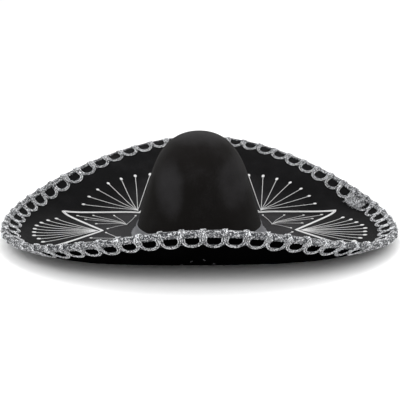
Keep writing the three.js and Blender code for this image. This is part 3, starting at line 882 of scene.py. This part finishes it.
class HAT_OT_stage(bpy.types.Operator):
    """Pale floor, soft studio light and the camera"""
    bl_idname = "hat.stage"
    bl_label = "Stage"

    def execute(self, context):
        scene = context.scene
        scene.view_settings.view_transform = "Standard"
        bpy.ops.mesh.primitive_plane_add(size=FLOOR_SIZE)
        floor = context.active_object
        floor.name = "floor"
        material, _web, main = shader("pale_floor")
        set_shader(main, Base_Color=(FLOOR_SHADE, FLOOR_SHADE, FLOOR_SHADE, 1), Roughness=0.9)
        floor.data.materials.append(material)
        world = scene.world or bpy.data.worlds.new("studio")
        scene.world = world
        world.use_nodes = True
        back = world.node_tree.nodes["Background"]
        back.inputs[0].default_value = (1, 1, 1, 1)
        back.inputs[1].default_value = SKY_LIGHT
        for name, place, wide, power in LAMPS:
            light = bpy.data.lights.new(name, "AREA")
            light.size, light.energy = wide, power
            lamp = bpy.data.objects.new(name, light)
            scene.collection.objects.link(lamp)
            lamp.location = place
            lamp.rotation_euler = (Vector(LAMP_AIM) - Vector(place)).to_track_quat("-Z", "Y").to_euler()
        camera = bpy.data.objects.new("camera", bpy.data.cameras.new("camera"))
        scene.collection.objects.link(camera)
        tilt = math.radians(CAMERA_TILT)
        back_way = Vector((0, -math.cos(tilt), math.sin(tilt)))
        camera.location = Vector(CAMERA_TARGET) + back_way * CAMERA_AWAY
        roll = Quaternion((0, 0, 1), math.radians(CAMERA_ROLL))
        camera.rotation_euler = ((-back_way).to_track_quat("-Z", "Y") @ roll).to_euler()
        camera.data.lens = CAMERA_LENS
        camera.data.clip_start, camera.data.clip_end = CAMERA_CLIP
        scene.camera = camera
        return {"FINISHED"}


class HAT_OT_brim(Maker):
    """The brim's two plies of pressed felt"""
    bl_idname = "hat.brim"
    bl_label = "Brim felts"

    def build(self, shape, sizes):
        tree = once("felt", felt_tree, shape)
        for name, slot, node, hole, depth in (
                ("upper_brim_felt", "brim_felt", "brim_upper_felt",
                 shape.crown_a + 0.45, shape.top - shape.felt / 2),
                ("under_brim_felt", "under_felt", "brim_under_felt",
                 shape.crown_a - CROWN_WALL - 2.2, shape.felt / 2)):
            obj = grow(piece(name, slot, node), tree, Hole=hole, Depth=depth)
            wall = obj.modifiers.new("wall", "SOLIDIFY")
            wall.thickness, wall.offset = (shape.felt - 0.02) * MM, 0.0
            settle(keep(obj))


def dome(shape, name, slot, node, bottom, inset, top, wall, around, up, ripple):
    """A closed dome wall; ripple(ang, share) is what its faces' radius gains."""
    shares = (1 - (1 - np.linspace(0, 1, up)) ** DOME_CROWDING)[:-1]
    ang = ring(around)
    points = []
    for ins, high in ((inset, top), (inset + wall, top - wall)):
        z = (bottom + (high - bottom) * shares)[:, None] + 0 * ang
        r = shape.crown(ang[None, :], z, ins, high) + ripple(ang[None, :], shares[:, None])
        points += [polar(ang, r, z).reshape(-1, 3), np.array([[0, 0, high]])]
    rows, faces = len(shares), []
    off = rows * around + 1
    for i in range(around):
        k = (i + 1) % around
        for j in range(rows - 1):
            a, b = j * around + i, j * around + k
            faces.append((a, b, b + around, a + around))
            faces.append((a + off, a + around + off, b + around + off, b + off))
        a, b = (rows - 1) * around + i, (rows - 1) * around + k
        top_point = rows * around
        faces += [(a, b, top_point), (a + off, top_point + off, b + off), (i, off + i, off + k, k)]
    obj = fill(piece(name, slot, node), np.concatenate(points), faces)
    settle(obj)
    return obj


class HAT_OT_crown(Maker):
    """The crown's felt dome"""
    bl_idname = "hat.crown"
    bl_label = "Crown"

    def build(self, shape, sizes):
        def ripple(ang, share):
            near_top = 1 - eased((share - 0.8) / 0.2)
            wave = sum(high * np.sin(ang * n + share * turn + start) for high, n, turn, start in RIPPLES)
            return wave * near_top * eased(share * 5)
        dome(shape, "crown_dome", "crown_felt", "crown_felt", shape.felt + GAP, 0.0, shape.crown_h,
             CROWN_WALL, 200, 90, ripple)


class HAT_OT_lining(Maker):
    """The satin lining inside the crown"""
    bl_idname = "hat.lining"
    bl_label = "Lining"

    def build(self, shape, sizes):
        def ripple(ang, share):
            pleat = (np.abs(np.sin(ang * LINING_PLEATS)) * eased((share - 0.55) / 0.3)
                     * (1 - eased((share - 0.93) / 0.07)))
            return pleat * -PLEAT_DEPTH
        lining = dome(shape, "satin_lining", "lining_cloth", "crown_lining",
                      shape.felt + GAP + SWEAT_HEIGHT + 1, CROWN_WALL + 1.2,
                      shape.crown_h - CROWN_WALL - 1.5, LINING_WALL, 240, 40, ripple)


class HAT_OT_sweatband(Maker):
    """The sweatband and the stitches along its two edges"""
    bl_idname = "hat.sweatband"
    bl_label = "Sweatband"

    def build(self, shape, sizes):
        ang, base, top = ring(240), shape.felt + GAP, shape.crown_h - CROWN_WALL

        def band(ang, z, out):
            """A ring of the band, `out` off its outer face and bulging where that is not 0."""
            bulge = SWEAT_BULGE * math.sin(math.pi * z / SWEAT_HEIGHT) if out else 0.0
            r = shape.crown(ang, base + z, CROWN_WALL + SWEAT_FIT, top) - out - bulge
            return polar(ang, r, base + z)

        levels = np.linspace(0, SWEAT_HEIGHT, 9)
        rows = [band(ang, z, 0.0) for z in levels] + [band(ang, z, SWEAT_WALL) for z in levels[::-1]]
        obj = piece("sweatband_strip", "sweat_cloth", "sweatband")
        fill(obj, np.stack(rows, 1).reshape(-1, 3), ring_faces(len(rows), len(ang)))
        settle(face_out(obj))
        dashes = []
        for z in SEAM_LEVELS:
            for start in ring(SEAM_STITCHES):
                a = start + np.array([0.2, 0.5, 0.8]) * TAU / SEAM_STITCHES
                dashes.append((band(a, z, SWEAT_WALL + 0.1), polar(a, -1.0, 0.0), False))
        obj = piece("sweatband_stitches", "sweat_cloth", finish="ray_stitch")
        settle(lay_cord(obj, dashes, SEAM_TWIST, 0.15))


class HAT_OT_wire(Maker):
    """The wire hoop inside the brim's edge"""
    bl_idname = "hat.wire"
    bl_label = "Rim wire"

    def build(self, shape, sizes):
        around, rows = 300, 8
        edge, out, up = shape.edge(ring(around))
        rings = [edge + out * (GAP + WIRE_RADIUS * (1 + math.cos(b))) + up * WIRE_RADIUS * math.sin(b)
                 for b in ring(rows)]
        obj = piece("rim_hoop", "edge_wire", "rim_wire")
        fill(obj, np.stack(rings, 1).reshape(-1, 3), ring_faces(rows, around))
        settle(face_out(obj))


class HAT_OT_braid(Maker):
    """The glittering braid folded over the brim's edge"""
    bl_idname = "hat.braid"
    bl_label = "Edge braid"

    def build(self, shape, sizes):
        teeth = sizes.loops * sizes.teeth
        around, across = teeth * BRAID_STEPS, BRAID_ACROSS
        share = np.arange(around) / around
        ang = shape.along(share)[:, None]
        arc = share[:, None] * shape.arc[-1]
        fold = shape.half * math.pi / 2
        tooth = np.abs(np.mod(share * teeth, 1.0) - 0.5)[:, None] * 2
        far = fold + shape.reach - 1.1 + BRAID_TOOTH * tooth
        q = np.linspace(-1, 1, across)[None, :] * far
        lane = q / BRAID_LANE
        plait = np.where(np.mod(np.floor(lane + 0.5), 2) > 0.5, 1.0, -1.0)
        slant = plait * np.mod(lane + 0.5, 1.0) * BRAID_LEAN
        strand = np.abs(np.sin(math.pi * (arc / BRAID_STRAND + slant)))
        valley = np.abs(np.sin(math.pi * (lane + 0.5))) ** 0.5
        drift = 0.25 * np.sin(arc * 0.21 + 1.7) + 0.2 * np.sin(arc * 0.53)
        relief = (-0.75 + 0.8 * strand ** 0.7 * (0.45 + 0.55 * valley)
                  + drift * 0.5 * np.exp(-(q / 7) ** 2))
        outer = shape.fold(ang, q, relief)
        inner_q = np.linspace(1, -1, 7)[None, :] * (far - 0.3)
        inner = shape.fold(ang, inner_q, -1.25)
        points = np.concatenate([outer, inner], 1)
        obj = piece("folded_braid", "edge_braid", "edge_braid")
        fill(obj, points.reshape(-1, 3), ring_faces(points.shape[1], around))
        settle(face_out(obj))


def smooth_path(knots, n):
    """A rounded line through plan knots, n points, by chord length."""
    knots = np.asarray(knots, float)
    ext = np.vstack([2 * knots[0] - knots[1], knots, 2 * knots[-1] - knots[-2]])
    out = []
    for i in range(1, len(ext) - 2):
        p0, p1, p2, p3 = ext[i - 1], ext[i], ext[i + 1], ext[i + 2]
        t = np.linspace(0, 1, 12, endpoint=False)[:, None]
        out.append(0.5 * (2 * p1 + (p2 - p0) * t + (2 * p0 - 5 * p1 + 4 * p2 - p3) * t * t
                          + (3 * p1 - p0 - 3 * p2 + p3) * t ** 3))
    out.append(knots[-1:])
    path = np.concatenate(out)
    run = np.concatenate([[0], np.cumsum(np.linalg.norm(np.diff(path, axis=0), axis=1))])
    at = np.linspace(0, run[-1], n)
    return np.stack([np.interp(at, run, path[:, i]) for i in range(2)], 1)


def loop_lines(shape, sizes, side):
    """Two close strands for each loop of one face, from one crossing on the edge to the next."""
    pitch = shape.arc[-1] / sizes.loops
    turn = shape.half * math.pi / 2
    foot = turn + sizes.loop_depth / MM
    half = LOOP_HALF * pitch
    knots = [(-0.5 * pitch, 0), (-0.44 * pitch, 5.5), (-0.405 * pitch, turn + 4),
             (-half, foot - LOOP_SQUASH * half)]
    for a in (200, 225, 250, 270):
        a = math.radians(a)
        knots.append((half * math.cos(a), foot - half * LOOP_SQUASH * (1 + math.sin(a))))
    knots += [(-x, q) for x, q in reversed(knots[:-1])]
    path = smooth_path(knots, LOOP_POINTS)
    ahead = np.gradient(path, axis=0)
    ahead /= np.linalg.norm(ahead, axis=1)[:, None]
    aside = np.stack([-ahead[:, 1], ahead[:, 0]], 1)
    gimp = sizes.gimp / MM
    draw = np.random.default_rng(7 if side > 0 else 11)
    lines = []
    for k in range(sizes.loops):
        lean, deep, wide = (draw.normal(0, spread) for spread in LOOP_CHANCE)
        for strand in STRANDS:
            across, q = (path + aside * strand * gimp * GIMP_APART).T
            depth = np.clip((q - LOOP_LOOSE[0]) / LOOP_LOOSE[1], 0, 1)
            leg = across * side < 0
            rise = gimp * GIMP_SIT + GIMP_CREST * np.exp(-(q / CREST_RUN) ** 2) * leg
            x = across * (1 + wide * depth) + lean * depth
            ang = shape.along((k + 0.5 + x / pitch) / sizes.loops + START_SHARE)
            lines.append((*shape.raised(ang, (q + deep * depth) * side, rise), False))
    return lines


class HAT_OT_loops(Maker):
    """The looped gimp on both faces, and the thread that holds its feet down"""
    bl_idname = "hat.loops"
    bl_label = "Looped gimp"

    def build(self, shape, sizes):
        for name, node, side in (
                ("upper_loops", "upper_loop_trim", 1), ("under_loops", "lower_loop_trim", -1)):
            obj = piece(name, "loop_gimp", node)
            settle(lay_cord(obj, loop_lines(shape, sizes, side), GIMP_TWIST, 0.5, 0.12, 3, sizes.gimp))
            q = side * (shape.half * math.pi / 2 + sizes.loop_depth / MM - 3.6)
            thread = piece(name + "_tacking", "loop_gimp", finish="band_lace")
            settle(lay_cord(thread, [(*shape.raised(ring(900), q, 0.45), True)], LACE_TWIST, 0.1, 0.1, 5))


class HAT_OT_star(Maker):
    """The white cord that outlines the star on both faces"""
    bl_idname = "hat.star"
    bl_label = "Star cord"

    def build(self, shape, sizes):
        corners, width = star_corners(), sizes.star_cord / MM
        edges = list(zip(corners, corners[1:] + corners[:1]))
        obj = piece("star_outline", "star_cord", "star_cord_upper")
        parts = []
        for strand in STRANDS:
            outline = []
            for here, there in edges:
                length = plan_length(here, there)
                side = width * 0.5 * strand
                ox, oy = -(there[1] - here[1]) / length * side, (there[0] - here[0]) / length * side
                steps = max(2, int(length / 3))
                t = np.arange(steps) / steps
                outline.append(np.stack([here[0] + (there[0] - here[0]) * t + ox,
                                         here[1] + (there[1] - here[1]) * t + oy], 1))
            line, up = plan_points(shape, *np.concatenate(outline).T, shape.top + 0.6)
            parts.append(lay_cord(piece("strand", "star_cord"), [(line, up, True)],
                                  (1.15, width * 0.8, 1.15, 1.35), -1.0 * strand, 0.05))
        settle(merge_into(obj, parts))
        dashes = [dash for edge in edges for dash in plan_dashes(shape, *edge, STAR_DASH)]
        # The under face's stitches take the grey lace finish, a darker copy of the white cord: painted
        # shade of the brim's underside.
        obj = piece("star_outline_under", "star_cord", "star_cord_under", finish="band_lace")
        settle(lay_cord(obj, dashes, STAR_DASH_TWIST, 0.1, 0.1, 8))


def merge_into(obj, parts):
    """Join plain meshes into one piece and drop the parts."""
    work = bmesh.new()
    for part in parts:
        work.from_mesh(part.data)
        bpy.data.objects.remove(part)
    work.to_mesh(renewed(obj))
    work.free()
    return obj


class HAT_OT_fans(Maker):
    """The satin-stitched ray fans with a knot at each ray's end"""
    bl_idname = "hat.fans"
    bl_label = "Ray fans"

    def build(self, shape, sizes):
        draw = np.random.default_rng(5)
        ray, knot = sizes.ray / MM, sizes.knot
        for name, apex, ends, kind in all_fans():
            thin, wide, long = FAN_KINDS[kind]
            depth = shape.top + 0.35 * thin
            rays, knots = [], []
            for ex, ey in ends:
                length = plan_length(apex, (ex, ey))
                grow_by = 1 + draw.normal(0, 0.012)
                end = ex, ey = apex[0] + (ex - apex[0]) * grow_by, apex[1] + (ey - apex[1]) * grow_by
                rays.append((*plan_line(shape, apex, end, 4.0, depth, draw.normal(0, 0.5)), False))
                back = (ex + (apex[0] - ex) * 4 / length, ey + (apex[1] - ey) * 4 / length)
                knots.append((*plan_line(shape, end, back, 2.0, depth + 0.2), False))
            obj = piece(name + "_stitching", "ray_stitch", name)
            threads = lay_cord(piece("threads", "ray_stitch"), rays,
                               (2.4, 3.6, ray * thin, ray * 0.8 * thin), 0.16, 0.05, 2)
            beads = grow(guides(piece("beads", "ray_stitch"), knots), once("knot", knot_tree),
                         Width=knot * wide, Length=knot * long, Height=1.5 * MM * thin)
            settle(merge_into(obj, [threads, beads]))


class HAT_OT_under_stitches(Maker):
    """Where the rays' stitches come through on the under face"""
    bl_idname = "hat.under_stitches"
    bl_label = "Under stitches"

    def build(self, shape, sizes):
        dashes = [dash for _name, apex, ends, _kind in all_fans() for end in ends
                  for dash in plan_dashes(shape, apex, end, RAY_DASH) if dash[0][:, 2].min() > 0.9]
        obj = piece("under_stitches", "ray_stitch")
        settle(lay_cord(obj, dashes, RAY_DASH_TWIST, 0.1, 0.1, 9))


class HAT_OT_hat_band(Maker):
    """The lace ribbon round the foot of the crown, with its pleated foot on the brim"""
    bl_idname = "hat.hat_band"
    bl_label = "Hat band"

    def build(self, shape, sizes):
        ang, base = ring(720), shape.top + 0.3
        high, foot = sizes.band_height / MM, sizes.band_foot / MM
        pleat, scallop = 0.5 + 0.5 * np.sin(ang * BAND_PLEATS), 0.5 + 0.5 * np.cos(ang * BAND_SCALLOPS)

        def wall(z):
            return shape.crown(ang, z, -0.4, shape.crown_h)

        lip = wall(base) + foot - SCALLOP_DEPTH * scallop
        rows = [(wall(base), base), (lip, base), (lip + 0.2, base + 0.45 + 0.3 * pleat)]
        for t in np.linspace(0.12, 1, 8):
            z = base + 0.9 + 6.0 * t ** 1.6
            spread = (foot - 1.4) * (1 - t) ** 2.2 + 0.9
            rows.append((wall(z) + spread + 0.45 * pleat * (1 - 0.5 * t), z + 0.3 * pleat * (1 - t)))
        for t in np.linspace(0.15, 1, 7):
            z = base + 6.9 + (high - 6.9) * t
            lattice = 0.3 * (np.abs(np.sin(ang * BAND_SCALLOPS + t * 6)) > 0.6) + 0.15
            rows.append((wall(z) + 0.6 + lattice, z - 0.5 * scallop * (t > 0.95)))
        rows += [(wall(z), z) for z in (base + high, *np.linspace(base + high - 2, base + 2, 4))]
        points = np.stack([polar(ang, r, z) for r, z in rows], 1)
        obj = piece("lace_band", "band_lace", "hat_band")
        fill(obj, points.reshape(-1, 3), ring_faces(len(rows), len(ang)))
        settle(face_out(obj))


class HAT_OT_tail(Maker):
    """The frayed, lapped end of the trim on the right"""
    bl_idname = "hat.tail"
    bl_label = "Frayed tail"

    def build(self, shape, sizes):
        draw = np.random.default_rng(23)
        middle, reach = math.radians(TAIL_WAY), TAIL_REACH / TAIL_RADIUS
        fold = shape.half * math.pi / 2
        cords, hairs = [], []
        for k in range(TAIL_CORDS):
            a = middle + reach * (k / 3 - 1) * 0.9
            top, low = fold + draw.uniform(5, 8), fold + draw.uniform(21, 27)
            xs = a + np.array([0, 0.012, -0.004, 0.016, 0.008]) + draw.normal(0, 0.004, 5)
            qs = np.array([top, top + 5, (top + low) / 2 + 1, low - 3, low])
            path = smooth_path(np.stack([xs * TAIL_RADIUS, qs], 1), 24)
            rise = 2.2 + 0.8 * np.sin(np.linspace(0, math.pi, 24)) + draw.uniform(0, 0.8)
            cords.append((*shape.raised(path[:, 0] / TAIL_RADIUS, path[:, 1], rise), False))
        for _ in range(TAIL_HAIRS):
            a = middle + reach * draw.uniform(-1.0, 1.0) * 0.85
            q0 = fold + draw.uniform(9, 26)
            way, length = draw.uniform(0, TAU), draw.uniform(2.5, 6.0)
            t = np.linspace(0, 1, 4)
            curl = draw.normal(0, 0.6)
            ang = a + np.cos(way + curl * t) * length * t / TAIL_RADIUS
            q = q0 + np.sin(way + curl * t) * length * t
            rise = 1.2 + draw.uniform(0, 2.0) + draw.uniform(0, 1.6) * t
            hairs.append((*shape.raised(ang, q, rise), False))
        obj = piece("frayed_tail", "braid_tail", "trim_tail")
        thick = lay_cord(piece("tail_cords", "braid_tail"), cords, GIMP_TWIST, 0.5, 0.25, 4,
                         sizes.gimp * 0.8)
        fine = lay_cord(piece("tail_hairs", "braid_tail"), hairs, HAIR_TWIST, 0.0, 0.2, 6)
        settle(merge_into(obj, [thick, fine]))


MAKERS = (HAT_OT_stage, HAT_OT_brim, HAT_OT_crown, HAT_OT_lining, HAT_OT_sweatband, HAT_OT_wire,
          HAT_OT_braid, HAT_OT_loops, HAT_OT_tail, HAT_OT_hat_band, HAT_OT_star, HAT_OT_fans,
          HAT_OT_under_stitches)


class HAT_PT_sombrero(bpy.types.Panel):
    """Buttons for every piece of the hat"""
    bl_idname = "HAT_PT_sombrero"
    bl_label = "Sombrero"
    bl_space_type = "VIEW_3D"
    bl_region_type = "UI"
    bl_category = "Sombrero"

    def draw(self, context):
        for group in (context.scene.hat_sizes, context.scene.hat_colours):
            box = self.layout.box()
            for name in group.__annotations__:
                box.prop(group, name)
        for maker in MAKERS:
            self.layout.operator(maker.bl_idname)


CLASSES = (HatSizes, HatColours, *MAKERS, HAT_PT_sombrero)


def register():
    for cls in CLASSES:
        bpy.utils.register_class(cls)
    bpy.types.Scene.hat_sizes = PointerProperty(type=HatSizes)
    bpy.types.Scene.hat_colours = PointerProperty(type=HatColours)


def unregister():
    del bpy.types.Scene.hat_sizes, bpy.types.Scene.hat_colours
    for cls in reversed(CLASSES):
        bpy.utils.unregister_class(cls)


def main():
    """Build the whole hat in order."""
    register()
    for maker in MAKERS:
        group, name = maker.bl_idname.split(".")
        getattr(getattr(bpy.ops, group), name)()
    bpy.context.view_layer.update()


if __name__ == "__main__":
    main()
